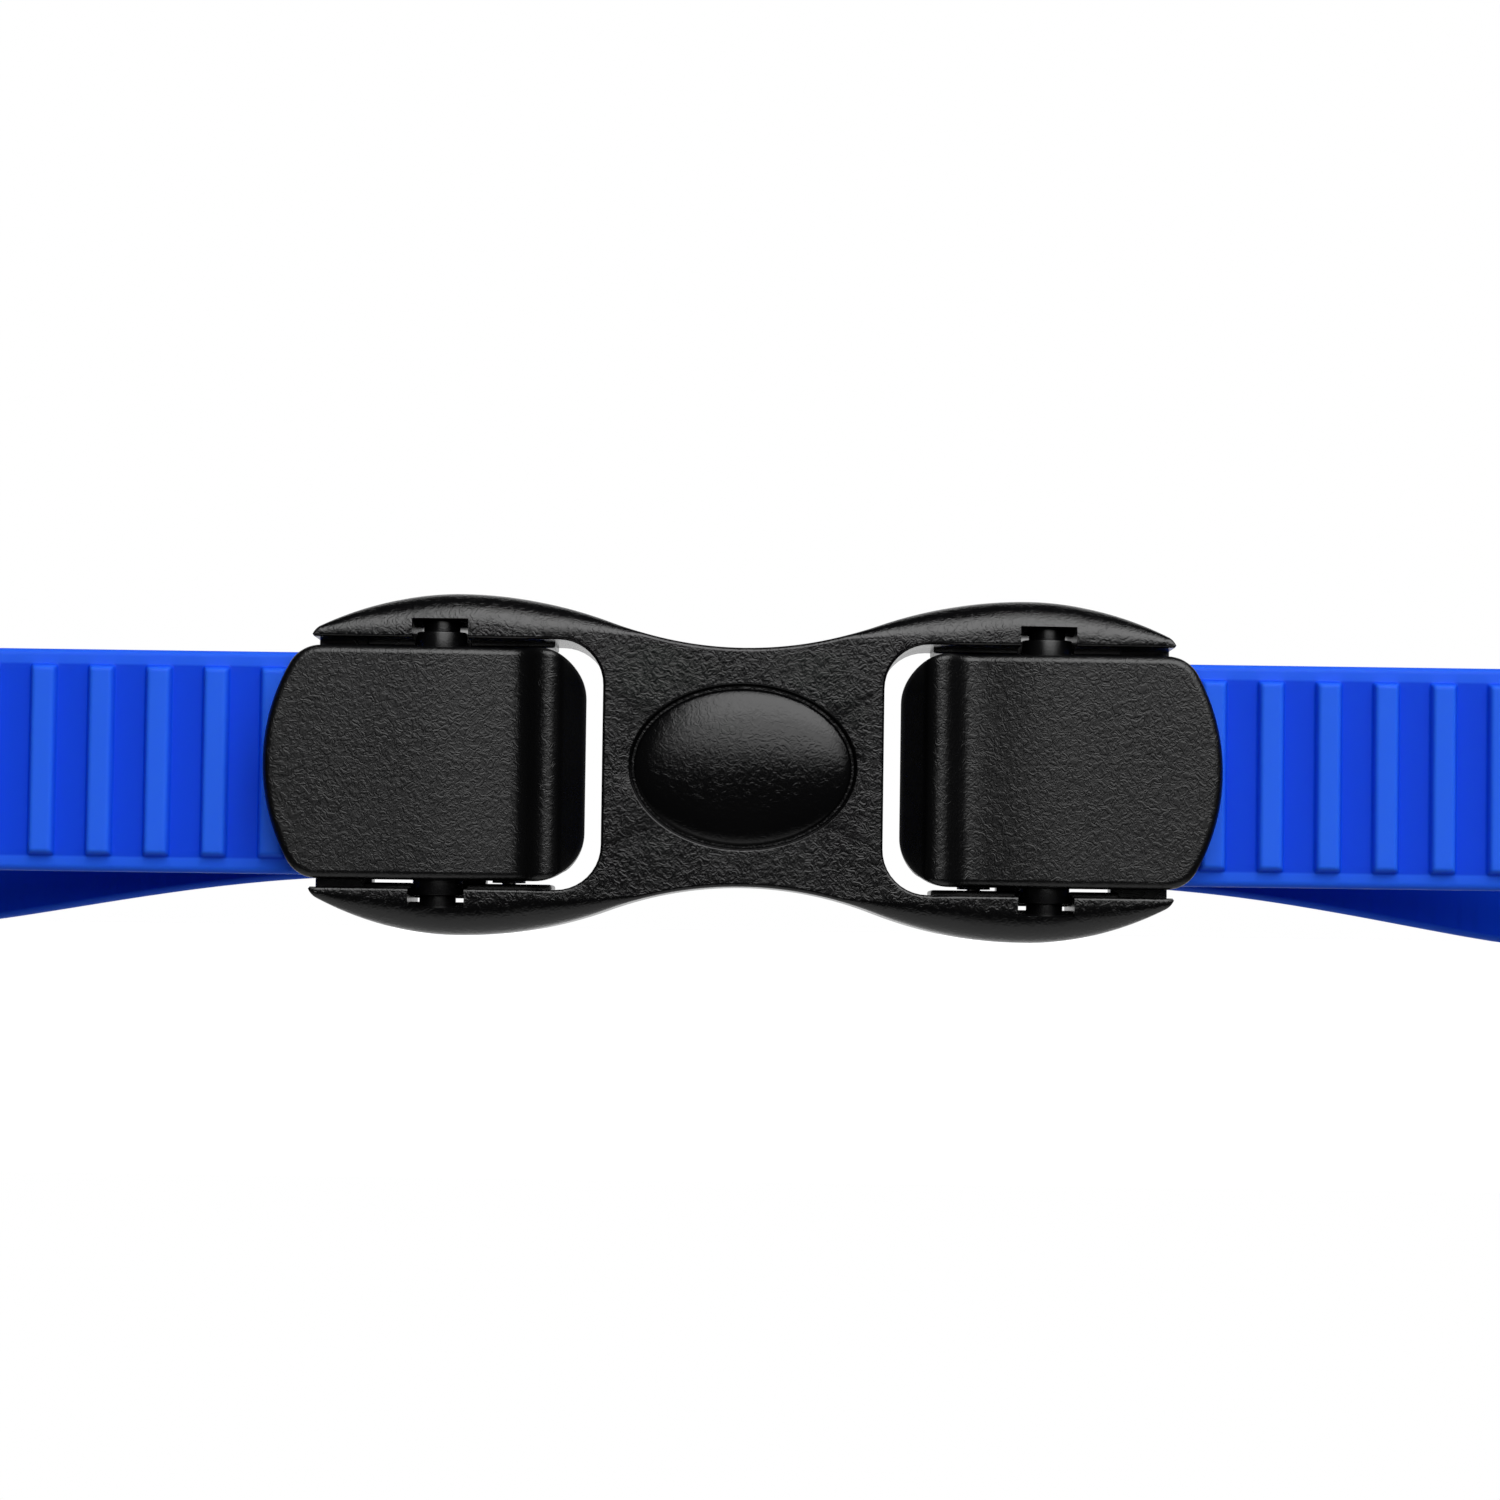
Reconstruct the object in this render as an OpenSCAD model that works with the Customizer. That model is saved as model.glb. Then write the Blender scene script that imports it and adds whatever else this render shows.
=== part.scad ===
// Rear head-strap adjuster of a swim mask: a bow-tie clip with a lifting ratchet lever at each end.
// Each lever grips the ribs of a flat silicone strap that comes in behind the clip, folds round a
// roller and leaves again as a free tail. The clip is drawn lying flat, with x along the straps,
// y across them and z out of its face, and is then stood upright on the edges of its straps.

/* [Strap] */
// Width of the silicone strap
strap_w = 16; // [13:0.5:20]
// Thickness of the strap between its ribs
strap_t = 1.2; // [0.9:0.1:1.6]
// Height of a rib above the strap
rib_h = 0.7; // [0.5:0.1:0.9]
// Width of a rib along the strap
rib_w = 1.7; // [1.2:0.1:2.0]
// Distance from one rib to the next
rib_pitch = 4.13; // [3.8:0.01:4.6]
// Smooth margin left on each side of the ribs
rib_margin = 1.25; // [0.8:0.05:2.5]
// Number of ribs on each strap
rib_count = 29; // [20:1:34]
// Distance from the middle of the clip to the free end of a tail
tail_reach = 70; // [58:1:85]
// Radius of the strap's first bend, where it leaves the clip
bend_r = 30; // [24:1:45]
// Angle of that first bend
bend_angle = 18; // [10:1:25]
// Radius of the long bend round the head
head_r = 60; // [48:1:75]
// Straight length past the temple
side_len = 58; // [30:1:80]

/* [Strap end] */
// Radius of the post hole in the strap's end
eye_bore_r = 1.6; // [1.2:0.1:2.0]
// Wall of silicone round the post hole
eye_wall = 1.2; // [0.9:0.1:1.8]

/* [Frame] */
// Half of the bridge between the two slots
bridge_half = 10; // [8:0.5:12]
// Width of an arm at its widest, from the slot to the outline
arm_w = 3.3; // [3:0.1:4.2]
// How far the waist is drawn in from the lobes
waist_in = 3.7; // [2.5:0.1:4]
// Radius of the waist
waist_r = 27; // [22:1:34]
// Radius of a lobe towards its tip
lobe_r = 21; // [19:0.5:26]
// Distance from the middle of the clip to the widest point of a lobe
lobe_x = 20.2; // [18:0.2:22]
// Distance from the middle of the clip to an arm's tip
tip_x = 30.8; // [30.2:0.2:32]
// Rounding of an arm's tip
tip_r = 1.3; // [0.6:0.1:1.6]
// Least width of an arm near its tip
tip_w = 0.4; // [0.3:0.05:0.8]
// Gap between the strap's edge and an arm
arm_gap = 0.9; // [0.8:0.05:1.4]
// Corner radius at the inner end of a slot
slot_corner_r = 3.2; // [2:0.1:4]
// Length and height of the oval in the middle
oval = [16.1, 11.8]; // [8:0.1:18]
// Depth of the groove round the oval
oval_depth = 0.5; // [0.3:0.05:0.8]

/* [Lever] */
// Distance from the middle of the clip to a lever's pivot
pivot_x = 21.65; // [21:0.05:22.5]
// Gap between a lever's nose and the end of its slot
nose_gap = 1.3; // [1:0.1:1.8]
// Distance from the pivot to the lever's outer end
lever_reach = 12.45; // [11:0.05:15]
// How far a lever overhangs the strap at each edge
lever_over = 0.3; // [0.2:0.05:0.45]
// Radius of a trunnion
trunnion_r = 1.3; // [1:0.05:1.4]
// Radial running clearance of trunnions and rollers
run_clear = 0.05; // [0.02:0.01:0.1]
// Distance from the middle of the clip to the locking face of the outer tooth
tooth_x = 28.6; // [27.5:0.1:29.5]

/* [Roller] */
// Distance from the middle of the clip to a roller's axle
roller_x = 16.8; // [16.6:0.1:17.2]
// Radius of a roller
roller_r = 1.2; // [1:0.05:1.5]
// Radius of an axle pin
axle_r = 0.5; // [0.4:0.05:0.6]

/* [Hidden] */
fine = 48;          // segments of a full circle
eps = 0.01;

// heights above the clip's back face, from the back to the front
soft_gap = 0.15;    // between the strap and the roller it folds round
back_gap = 0.1;     // between the clip's back face and the ribs that face the head
rib_embed = 0.1;    // how deep a rib is rooted in the strap
run_z = back_gap + rib_h + strap_t / 2;                 // middle of the strap's inner layer
fold_r = roller_r + soft_gap + strap_t / 2;             // middle of the strap in its fold
roller_z = run_z + fold_r;
tail_z = roller_z + fold_r;                             // middle of the tail
tail_top = tail_z + strap_t / 2;
rib_top = tail_top + rib_h;
pivot_z = rib_top + 0.7;
frame_depth = pivot_z + 2.3;
lever_top = frame_depth + 0.4;

// widths, from the strap outwards
strap_half = strap_w / 2;
lever_half = strap_half + lever_over;
ledge_half = lever_half + 0.2;
slot_half = strap_half + arm_gap;
lobe_half = slot_half + arm_w;
waist_half = lobe_half - waist_in;
rib_len = strap_w - 2 * rib_margin;

// the outline's arcs: the waist meets each lobe in a shared tangent
radius_sum = (lobe_x ^ 2 + waist_in ^ 2) / (2 * waist_in);
lobe_in_r = radius_sum - waist_r;
waist_angle = atan2(lobe_x, radius_sum - waist_in);
tip_angle = asin((tip_x - tip_r - lobe_x) / (lobe_r - tip_r));
tip_y = max(lobe_half - lobe_r + (lobe_r - tip_r) * cos(tip_angle), slot_half + tip_w - tip_r);

// cross pieces of the frame
bar_gap = 0.2;                              // between a cross piece and the strap
bar_low = run_z + strap_t / 2 + bar_gap;
bar_high = tail_z - strap_t / 2 - bar_gap;
ledge_start = bridge_half + 3.6;
ledge_top = tail_top + bar_gap;
floor_start = roller_x + roller_r + 0.4;
floor_end = pivot_x + trunnion_r + 0.7;     // the outer side of the pivot notch
bar_start = tip_x - 4.2;
bar_end = tip_x - 0.1;
bridge_t = 3;                               // plate over the pocket behind the bridge
pocket = [2 * bridge_half - 4, 2 * waist_half - 5];
pocket_r = 2;

// pivot notches
notch_w = 2 * trunnion_r + 1.4;
boss_r = notch_w / 2 - 0.2;
notch_out = slot_half + 0.95;               // how far a notch reaches into the arm, at the pivot
notch_lead = 0.45;                          // extra reach of its sloping wall at the face
tongue_end = notch_out - 0.3;               // the floor runs on into the notch to here
boss_end = notch_out - 0.45;
boss_root = lever_over / 3;                 // how deep a boss is rooted in its skirt
trunnion_end = notch_out + 1;
bore_end = trunnion_end + 0.1;

// lever sections
nose_x = bridge_half + nose_gap;
lever_end = pivot_x + lever_reach;
plate_t = 1.6;
skirt_t = 1.1;
skirt_z = tail_top + 0.3;
nose_low = pivot_z - 1.7;
ridge_x = nose_x + 1.9;
ridge_z = lever_top + 0.6;
nose_corner_r = 3.5;
end_r = 14.4;                               // bulge of a lever's outer end
end_corner_r = 2.5;
tooth_depth = 0.5;                          // reach of a tooth below the tops of the ribs
tooth_count = 2;

// the strap's path, from the free end of the tail to the eye
tail_len = tail_reach - roller_x;
fold_len = PI * fold_r;
inner_len = tip_x - 0.3 - roller_x;
bend_len = bend_r * bend_angle * PI / 180;
head_len = head_r * (90 - bend_angle) * PI / 180;
path_len = tail_len + fold_len + inner_len + bend_len + head_len + side_len;
grip_rib_x = tooth_x + 0.2 + rib_w / 2;     // the rib that the outer tooth holds
rib_start = (tail_reach - grip_rib_x) % rib_pitch + rib_pitch;  // the very end is left smooth
bend_x = roller_x + inner_len;              // where the first bend starts
head_x = bend_x + bend_r * sin(bend_angle);
head_z = run_z - bend_r * (1 - cos(bend_angle));
side_x = head_x + head_r * (1 - sin(bend_angle));
side_z = head_z - head_r * cos(bend_angle);
eye_z = side_z - side_len;
eye_r = eye_bore_r + eye_wall;

// the inner layer settles from the clip's middle height down to the surface it stands on
sink = lobe_half - strap_half;
sink_start = tail_len + fold_len + 25 - roller_x;
sink_len = 44;
ring_step = 2.5;

// the whole thing is centred over the ground, front to back
back_y = (ridge_z + eye_z - eye_r) / 2;

function smooth(t) = t <= 0 ? 0 : t >= 1 ? 1 : t * t * (3 - 2 * t);
function sunk(s) = sink * smooth((s - sink_start) / sink_len);

// A point of the strap's middle line and its heading, a distance s from the tail's free end
function on_path(s) =
    let (a = s - tail_len, b = a - fold_len, c = b - inner_len, d = c - bend_len, e = d - head_len)
    a < 0 ? [tail_reach - s, tail_z, 180]
    : b < 0 ? let (h = 180 + a / fold_r * 180 / PI)
        [roller_x + fold_r * sin(h), roller_z - fold_r * cos(h), h]
    : c < 0 ? [roller_x + b, run_z, 360]
    : d < 0 ? let (h = c / bend_r * 180 / PI)
        [bend_x + bend_r * sin(h), run_z - bend_r * (1 - cos(h)), 360 - h]
    : e < 0 ? let (h = bend_angle + d / head_r * 180 / PI)
        [head_x + head_r * (sin(h) - sin(bend_angle)),
            head_z - head_r * (cos(bend_angle) - cos(h)), 360 - h]
    : [side_x, side_z - e, 270];

// Stations along the strap: close together wherever it bends or settles
function stations() =
    let (fold_steps = 16, run_steps = ceil((path_len - side_len - tail_len - fold_len) / ring_step),
        run_start = tail_len + fold_len, run_len = path_len - side_len - run_start)
    concat([0], [for (i = [0:fold_steps]) tail_len + fold_len * i / fold_steps],
        [for (i = [1:run_steps]) run_start + run_len * i / run_steps], [path_len]);

// The four corners of the strap's section at a station
function section(s) =
    let (p = on_path(s), n = [sin(p[2]), -cos(p[2])] * strap_t / 2, low = -strap_half - sunk(s),
        high = strap_half - sunk(s))
    [[p[0] - n[0], low, p[1] - n[1]], [p[0] + n[0], low, p[1] + n[1]],
        [p[0] + n[0], high, p[1] + n[1]], [p[0] - n[0], high, p[1] - n[1]]];

// Points along an arc
function arc(centre, r, from, to, steps = 14) =
    [for (i = [0:steps]) let (a = from + (to - from) * i / steps) centre + r * [cos(a), sin(a)]];

// Stands the flat clip upright, centred over the ground
module upright() {
    translate([0, back_y, lobe_half]) rotate([90, 0, 0]) children();
}

// Draws its children on the right, or mirrored on the left
module side(left) {
    mirror([left ? 1 : 0, 0, 0]) children();
}

// A prism whose outline is drawn along x and z, centred on y = 0
module across(width) {
    rotate([90, 0, 0]) linear_extrude(width, center = true) children();
}

// One quarter of the bow tie's outline
module outline_quarter() {
    waist = arc([0, waist_half + waist_r], waist_r, -90, -90 + waist_angle);
    lobe_in = arc([lobe_x, lobe_half - lobe_in_r], lobe_in_r, 90 + waist_angle, 90);
    lobe_out = [for (p = arc([lobe_x, lobe_half - lobe_r], lobe_r, 90, 90 - tip_angle))
        [p[0], max(p[1], slot_half + tip_w)]];
    tip = arc([tip_x - tip_r, tip_y], tip_r, 90 - tip_angle, 0);
    polygon(concat([[0, -eps]], waist, [for (i = [1:len(lobe_in) - 1]) lobe_in[i]],
        [for (i = [1:len(lobe_out) - 1]) lobe_out[i]], [for (i = [1:len(tip) - 1]) tip[i]],
        [[tip_x, -eps]]));
}

module outline() {
    for (x = [0, 1], y = [0, 1]) mirror([x, 0]) mirror([0, y]) outline_quarter();
}

// The open-ended slot that a strap and its lever lie in
module slot_outline() {
    corner = [bridge_half + slot_corner_r, slot_half - slot_corner_r];
    for (y = [-1, 1]) translate([corner[0], y * corner[1]]) circle(slot_corner_r, $fn = fine);
    translate([bridge_half, -corner[1]]) square([tip_x, 2 * corner[1]]);
    translate([corner[0], -slot_half]) square([tip_x, 2 * slot_half]);
}

// Ledges beside the strap, the floor under it and the bar that ties the arms' tips together
module cross_pieces() {
    for (y = [-1, 1])
        translate([ledge_start, y * (ledge_half + slot_half) / 2 - (slot_half - ledge_half) / 2 - eps, 0])
            cube([floor_end - ledge_start, slot_half - ledge_half + 2 * eps, ledge_top]);
    for (span = [[floor_start, floor_end], [bar_start, bar_end]])
        translate([span[0], -slot_half - eps, bar_low])
            cube([span[1] - span[0], 2 * (slot_half + eps), bar_high - bar_low]);
}

// Where a lever snaps in: a notch with a sloping end wall, and a bore for each trunnion
module pivot_cuts() {
    notch_wall = [[0, -eps], [notch_out, -eps], [notch_out, pivot_z - trunnion_r],
        [notch_out + notch_lead, frame_depth + eps], [0, frame_depth + eps]];
    for (y = [0, 1]) mirror([0, y]) {
        intersection() {
            translate([pivot_x - notch_w / 2, 0, 0]) rotate([90, 0, 90]) linear_extrude(notch_w)
                difference() {
                    polygon(notch_wall);
                    translate([0, bar_low]) square([tongue_end, bar_high - bar_low]);
                }
            translate([pivot_x - notch_w, lever_half, -1]) cube([2 * notch_w, lobe_half, 2 * frame_depth]);
        }
        translate([pivot_x, notch_out - eps, pivot_z]) rotate([-90, 0, 0])
            cylinder(r = trunnion_r + run_clear, h = bore_end - notch_out, $fn = fine);
    }
}

// The blind hole that holds each end of an axle pin
module axle_holes() {
    translate([roller_x, 0, roller_z]) rotate([90, 0, 0])
        cylinder(r = axle_r, h = 2 * axle_end(), center = true, $fn = fine);
}

function axle_end() = slot_half + arm_w / 2;

module oval_outline(inset) {
    scale([oval[0] / 2 - inset, oval[1] / 2 - inset]) circle(1, $fn = fine);
}

// The groove round the oval, with a low dome left standing inside it
module oval_cut() {
    dome_h = oval_depth + 0.25;
    translate([0, 0, frame_depth - oval_depth]) difference() {
        linear_extrude(2 * oval_depth) oval_outline(0);
        scale([oval[0] / 2 - 0.35, oval[1] / 2 - 0.35, dome_h]) sphere(1, $fn = fine);
    }
}

module frame() {
    color("#26282a") upright() difference() {
        union() {
            difference() {
                linear_extrude(frame_depth) outline();
                for (left = [0, 1]) mirror([left, 0, 0])
                    translate([0, 0, -1]) linear_extrude(frame_depth + 2) slot_outline();
            }
            for (left = [0, 1]) mirror([left, 0, 0]) cross_pieces();
        }
        for (left = [0, 1]) mirror([left, 0, 0]) {
            pivot_cuts();
            axle_holes();
        }
        translate([0, 0, -1]) linear_extrude(frame_depth - bridge_t + 1) rounded(pocket, pocket_r);
        oval_cut();
    }
}

// A rectangle with rounded corners, centred on the origin
module rounded(size, r) {
    for (x = [-1, 1], y = [-1, 1])
        translate([x * (size[0] / 2 - r), y * (size[1] / 2 - r)]) circle(r, $fn = fine);
    square([size[0] - 2 * r, size[1]], center = true);
    square([size[0], size[1] - 2 * r], center = true);
}

// The lever's side: a flat plate, a finger dip, a ridge, and the nose that reaches into the slot
module lever_profile() {
    polygon([[nose_x, nose_low], [ridge_x, ridge_z - 0.4], [ridge_x + 0.4, ridge_z],
        [ridge_x + 1.2, ridge_z], [ridge_x + 2.1, lever_top - 0.25], [ridge_x + 3.1, lever_top - 0.45],
        [ridge_x + 4.1, lever_top - 0.25], [ridge_x + 5.2, lever_top], [lever_end, lever_top],
        [lever_end, rib_top + 0.9], [tooth_x + 1.5, skirt_z + 0.4], [pivot_x, skirt_z],
        [nose_x + 3, pivot_z + 0.9], [nose_x + 1.8, nose_low + 1.8], [nose_x + 1.8, nose_low]]);
}

// The hollow under the plate, between the lever's skirts
module lever_hollow() {
    ceiling = lever_top - plate_t;
    polygon([[nose_x + 1.2, -1], [nose_x + 1.2, nose_low], [ridge_x + 1, ceiling + 0.2],
        [ridge_x + 2, ceiling - 0.2], [ridge_x + 5, ceiling], [lever_end - 2, ceiling],
        [lever_end - 1.4, rib_top + 0.5], [lever_end - 1.4, -1]]);
}

module lever_plan() {
    bulge_x = lever_end - end_r;
    corner_dx = sqrt((end_r - end_corner_r) ^ 2 - (lever_half - end_corner_r) ^ 2);
    corner_turn = atan2(lever_half - end_corner_r, corner_dx);
    half = concat(arc([nose_x + nose_corner_r, lever_half - nose_corner_r], nose_corner_r, 180, 90),
        arc([bulge_x + corner_dx, lever_half - end_corner_r], end_corner_r, 90, corner_turn),
        arc([bulge_x, 0], end_r, corner_turn, corner_turn / 8));
    last = len(half) - 1;
    polygon(concat(half, [for (i = [0:last]) [half[last - i][0], -half[last - i][1]]]));
}

// One row of the ratchet: steep on the side that locks, sloping on the side that lets ribs pass
module tooth(x) {
    tip_z = rib_top - tooth_depth;
    across(rib_len - 0.6)
        polygon([[x, tip_z], [x, lever_top - plate_t + eps], [x - 2.2, lever_top - plate_t + eps],
            [x - 0.4, tip_z]]);
}

module lever() {
    intersection() {
        difference() {
            across(2 * lever_half) lever_profile();
            across(2 * (lever_half - skirt_t)) lever_hollow();
        }
        linear_extrude(2 * frame_depth) lever_plan();
    }
    for (i = [0:tooth_count - 1]) tooth(tooth_x - i * rib_pitch);
    for (y = [0, 1]) mirror([0, y, 0]) translate([pivot_x, 0, pivot_z]) rotate([-90, 0, 0]) {
        translate([0, 0, lever_half - boss_root])
            cylinder(r = boss_r, h = boss_end - lever_half + boss_root, $fn = fine);
        translate([0, 0, boss_end - eps])
            cylinder(r = trunnion_r, h = trunnion_end - boss_end + eps, $fn = fine);
    }
}

module left_lever() { color("#303234") upright() side(true) lever(); }

module right_lever() { color("#303234") upright() side(false) lever(); }

module roller() {
    translate([roller_x, 0, roller_z]) rotate([90, 0, 0]) difference() {
        cylinder(r = roller_r, h = 2 * (ledge_half - 0.1), center = true, $fn = fine);
        cylinder(r = axle_r + run_clear, h = 2 * slot_half, center = true, $fn = fine);
    }
}

module left_roller() { color("#8d9296") upright() side(true) roller(); }

module right_roller() { color("#8d9296") upright() side(false) roller(); }

module left_axle() { color("silver") upright() side(true) axle_holes(); }

module right_axle() { color("silver") upright() side(false) axle_holes(); }

// The strap's plain band, swept along its path
module band() {
    rings = [for (s = stations()) section(s)];
    last = 4 * (len(rings) - 1);
    sides = [for (i = [0:len(rings) - 2], j = [0:3]) let (a = 4 * i + j, b = 4 * i + (j + 1) % 4)
        each [[a, a + 4, b], [b, a + 4, b + 4]]];
    polyhedron([for (ring = rings) each ring],
        concat(sides, [[0, 1, 2, 3], [last + 3, last + 2, last + 1, last]]), convexity = 6);
}

module rib(s) {
    p = on_path(s);
    translate([p[0], -sunk(s), p[1]]) rotate([0, -p[2], 0])
        translate([-rib_w / 2, -rib_len / 2, -strap_t / 2 - rib_h])
            cube([rib_w, rib_len, rib_h + rib_embed]);
}

module strap() {
    difference() {
        union() {
            band();
            for (i = [0:rib_count - 1]) rib(rib_start + i * rib_pitch);
            eye_cylinder(eye_r, strap_w);
        }
        eye_cylinder(eye_bore_r, 2 * strap_w);
    }
}

module eye_cylinder(r, h) {
    translate([side_x, -sink, eye_z]) rotate([90, 0, 0])
        cylinder(r = r, h = h, center = true, $fn = fine);
}

module left_strap() { color("#1644d8") upright() side(true) strap(); }

module right_strap() { color("#1644d8") upright() side(false) strap(); }

frame();
left_lever();
right_lever();
left_roller();
right_roller();
left_axle();
right_axle();
left_strap();
right_strap();
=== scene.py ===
# %% [markdown]
# # A mask strap adjuster
# The object is the small clip at the back of a swim mask's head strap: a black moulded bow tie with a
# lifting ratchet lever at each end, and a blue ribbed silicone strap folded through each side.
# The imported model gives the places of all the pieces. This script makes the surfaces that are seen, and
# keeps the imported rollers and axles, which are plain turned pins, with a better finish.

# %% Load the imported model
from math import asin, atan2, cos, degrees, pi, radians, sin, sqrt

import bmesh
import bpy
from mathutils import Matrix, Vector


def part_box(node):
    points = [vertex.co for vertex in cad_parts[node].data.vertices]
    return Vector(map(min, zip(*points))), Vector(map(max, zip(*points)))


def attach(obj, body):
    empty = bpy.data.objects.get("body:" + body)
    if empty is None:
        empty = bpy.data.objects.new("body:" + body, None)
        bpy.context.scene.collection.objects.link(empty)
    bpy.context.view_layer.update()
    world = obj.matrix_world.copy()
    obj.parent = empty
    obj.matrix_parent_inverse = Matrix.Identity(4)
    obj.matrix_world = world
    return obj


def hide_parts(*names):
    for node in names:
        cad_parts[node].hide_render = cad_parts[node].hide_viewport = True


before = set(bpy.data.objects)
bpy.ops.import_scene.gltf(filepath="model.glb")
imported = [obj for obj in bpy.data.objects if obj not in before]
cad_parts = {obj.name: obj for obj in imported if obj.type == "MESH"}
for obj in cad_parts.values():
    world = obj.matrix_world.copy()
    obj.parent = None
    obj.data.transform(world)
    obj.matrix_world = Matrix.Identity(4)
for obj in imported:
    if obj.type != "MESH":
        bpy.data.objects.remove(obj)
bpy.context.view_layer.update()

# %% [markdown]
# ## A flat drawing board
# The clip is easiest to think about lying on its back: x runs along the straps, y across them and z out
# of its face. Every piece is modelled on that board in metres, and one matrix then stands it up where
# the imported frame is. Left-hand pieces are mirror images of the right-hand ones.

# %% The board and its matrix
MM = 0.001
frame_low, frame_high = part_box("frame")
CENTRE_Z = (frame_low.z + frame_high.z) / 2
BACK_Y = frame_high.y
FRAME_DEPTH = frame_high.y - frame_low.y
UPRIGHT = Matrix.Translation((0, BACK_Y, CENTRE_Z)) @ Matrix.Rotation(pi / 2, 4, "X")
print("clip stands at height", CENTRE_Z, "with its back at", BACK_Y, "and is deep", FRAME_DEPTH)

# %% [markdown]
# ## Sizes
# The clip is built up from the strap: its width sets the slots, and its thickness, ribs and fold round
# the roller set how high the tail, the pivots and the clip's face lie.

# %% Strap sizes
STRAP_W = 16 * MM
STRAP_T = 1.2 * MM
RIB_H = 0.7 * MM
RIB_W = 1.7 * MM
RIB_PITCH = 4.13 * MM
RIB_LEN = 13.5 * MM
RIB_COUNT = 29
TAIL_REACH = 70 * MM
SINK_LEN = 44 * MM

# %% Clip sizes
BRIDGE_HALF = 10 * MM
ARM_W = 3.3 * MM
WAIST_IN = 3.7 * MM
WAIST_R = 27 * MM
LOBE_R = 21 * MM
LOBE_X = 20.2 * MM
TIP_X = 30.8 * MM
TIP_R = 1.3 * MM
SLOT_HALF = STRAP_W / 2 + 0.9 * MM
SLOT_CORNER_R = 3.2 * MM
LOBE_HALF = SLOT_HALF + ARM_W
WAIST_HALF = LOBE_HALF - WAIST_IN
TRUNNION_R = 1.3 * MM
NOTCH_W = 2 * TRUNNION_R + 1.4 * MM
NOTCH_OUT = SLOT_HALF + 0.95 * MM
NOTCH_LEAD = 0.45 * MM

# %% Heights above the clip's back
ROLLER_X = 16.8 * MM
ROLLER_R = 1.2 * MM
FOLD_R = ROLLER_R + 0.15 * MM + STRAP_T / 2
RUN_Z = 0.1 * MM + RIB_H + STRAP_T / 2
ROLLER_Z = RUN_Z + FOLD_R
TAIL_Z = ROLLER_Z + FOLD_R
TAIL_TOP = TAIL_Z + STRAP_T / 2
RIB_TOP = TAIL_TOP + RIB_H
PIVOT_X = 21.65 * MM
PIVOT_Z = RIB_TOP + 0.7 * MM
LEVER_TOP = FRAME_DEPTH + 0.4 * MM
print("tail at", TAIL_Z, "pivot at", PIVOT_Z, "lever's plate at", LEVER_TOP)

# %% [markdown]
# ## The camera
# It looks straight at the clip's face from about 300 mm, a little from below, through a long lens, so
# that the clip keeps its flat drawing-like look. A slight roll tips the right-hand strap down.

# %% Camera
VIEW_DISTANCE = 300 * MM
VIEW_WIDTH = 107.9 * MM
CAMERA_HEIGHT = 0.6 * MM
CAMERA_ROLL = radians(0.8)
AIM = Vector((0.5 * MM, BACK_Y - TAIL_Z, CENTRE_Z + 1.4 * MM))

camera_data = bpy.data.cameras.new("camera")
camera_data.sensor_width = 36
camera_data.lens = 36 * VIEW_DISTANCE / VIEW_WIDTH
camera_data.clip_start = 0.01
camera = bpy.data.objects.new("camera", camera_data)
camera.location = (AIM.x, AIM.y - VIEW_DISTANCE, CAMERA_HEIGHT)
look = (AIM - camera.location).to_track_quat("-Z", "Y").to_matrix().to_4x4()
camera.matrix_world = Matrix.Translation(camera.location) @ look @ Matrix.Rotation(CAMERA_ROLL, 4, "Z")
bpy.context.scene.collection.objects.link(camera)
bpy.context.scene.camera = camera
print("lens", round(camera_data.lens, 1), "mm")

# %% [markdown]
# ## Light
# Black plastic shows mostly what it mirrors, so the studio is drawn as what the clip would see around it:
# a soft box in front, a little up and to the right, a bright backdrop that draws a pale line along every
# rounded outline, and a glow from below. They could all be lamps. Painted on the world they fade out
# softly at their sides, as light through cloth does. One wide lamp overhead adds a firmer gleam.

# %% Small helpers for colours and nodes
def rgb(code):
    """A six-digit sRGB hex colour as linear red, green, blue and alpha."""
    parts = [int(code[i:i + 2], 16) / 255 for i in (1, 3, 5)]
    return (*[p / 12.92 if p <= 0.04045 else ((p + 0.055) / 1.055) ** 2.4 for p in parts], 1)


def add_node(tree, kind, settings=None, links=None, **inputs):
    """Adds one node: settings are its properties, inputs its socket values, links its incoming sockets."""
    node = tree.nodes.new(kind)
    for name, value in (settings or {}).items():
        setattr(node, name, value)
    for name, value in inputs.items():
        node.inputs[name.replace("_", " ")].default_value = value
    for name, source in (links or {}).items():
        tree.links.new(source, node.inputs[name])
    return node


# %% World
world = bpy.data.worlds.new("studio")
world.use_nodes = True
tree = world.node_tree
tree.nodes.clear()
direction = add_node(tree, "ShaderNodeTexCoord").outputs["Generated"]
split = add_node(tree, "ShaderNodeSeparateXYZ", links={"Vector": direction})


def fade(axis, start, end):
    """A value that eases from 0 to 1 as one part of the direction goes from start to end."""
    ease = add_node(tree, "ShaderNodeMapRange", {"interpolation_type": "SMOOTHSTEP"},
                    {"Value": split.outputs[axis]}, From_Min=start, From_Max=end)
    return ease.outputs["Result"]


def combined(operation, a, b):
    """One value made from two, each a socket or a number."""
    node = add_node(tree, "ShaderNodeMath", {"operation": operation})
    for index, value in enumerate((a, b)):
        if isinstance(value, (int, float)):
            node.inputs[index].default_value = value
        else:
            tree.links.new(value, node.inputs[index])
    return node.outputs[0]


FRONT_BOX_STRENGTH = 2.6
BACKDROP_STRENGTH = 0.8
BENEATH_STRENGTH = 0.55
DARK_STRENGTH = 0.02     # everywhere else
WHITE = (1, 1, 1, 1)

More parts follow.
